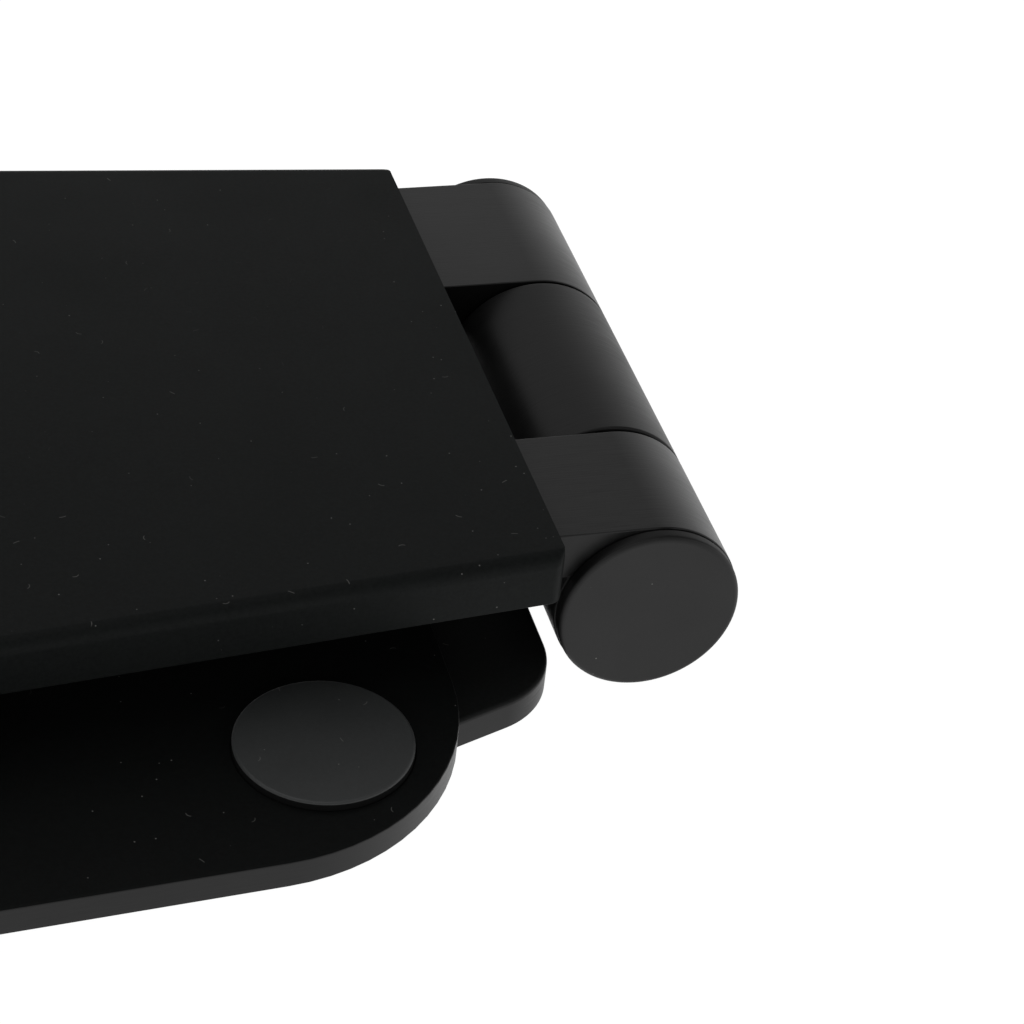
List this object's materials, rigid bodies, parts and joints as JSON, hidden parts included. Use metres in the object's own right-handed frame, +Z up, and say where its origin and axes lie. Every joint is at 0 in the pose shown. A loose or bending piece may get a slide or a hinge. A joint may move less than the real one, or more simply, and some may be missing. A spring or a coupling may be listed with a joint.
{
  "type": "photo album stand",
  "caption": "Folding black stand: a weighted base plate with rubber grip pads and front hooks, and a tapered backrest that swings up on a three-knuckle friction hinge",
  "frame": {"origin": "centre of the folded stand's footprint, on the surface it stands on", "axes": "+X to the rear, where the hinge barrel is; +Y along the hinge axis, to the stand's left; +Z up"},
  "size_m": [0.1386, 0.1264, 0.0205],
  "materials": {
    "black_anodised": "black anodised, fine grain",
    "black_steel_plate": "black coated",
    "barrel": "dark anodised, turned brush lines",
    "liner": "matte",
    "cap": "matte",
    "pad": "matte silicone",
    "rubber": "matte",
    "screw": "black coated",
    "bronze": "plain",
    "bare_steel": "plain"
  },
  "bodies": {
    "base": {"base_hinge_bracket": "barrel", "base_plate": "black_anodised", "base_weight": "black_steel_plate", "foot_front_left": "rubber", "foot_front_right": "rubber", "foot_rear_left": "rubber", "foot_rear_right": "rubber", "front_hook_left": "black_anodised", "front_hook_right": "black_anodised", "grip_pad_front_left": "pad", "grip_pad_front_right": "pad", "grip_pad_rear_left": "pad", "grip_pad_rear_right": "pad", "hinge_screw_1": "screw", "hinge_screw_2": "screw", "hinge_screw_3": "screw", "hook_screw_left_1": "screw", "hook_screw_left_2": "screw", "hook_screw_right_1": "screw", "hook_screw_right_2": "screw", "hook_sleeve_left": "rubber", "hook_sleeve_right": "rubber", "plate_screw_1": "screw", "plate_screw_2": "screw", "plate_screw_3": "screw", "plate_screw_4": "screw"},
    "backrest": {"backrest_bracket": "barrel", "backrest_liner": "liner", "backrest_shell": "black_anodised", "bracket_screw_1": "screw", "bracket_screw_2": "screw", "bracket_screw_3": "screw", "bracket_screw_4": "screw", "end_cap_left": "cap", "end_cap_right": "cap", "friction_washer_left": "bronze", "friction_washer_right": "bronze", "hinge_shaft": "bare_steel", "lock_nut": "bare_steel", "spring_washer_1": "bare_steel", "spring_washer_2": "bare_steel", "spring_washer_3": "bare_steel", "spring_washer_4": "bare_steel", "thrust_washer": "bare_steel"}
  },
  "joints": [
    {"name": "backrest_hinge", "type": "hinge", "parent": "base", "child": "backrest", "pos_m": [0.05975, 0, 0.0104], "axis": [0, 1, 0], "range_deg": [0, 115]}
  ]
}
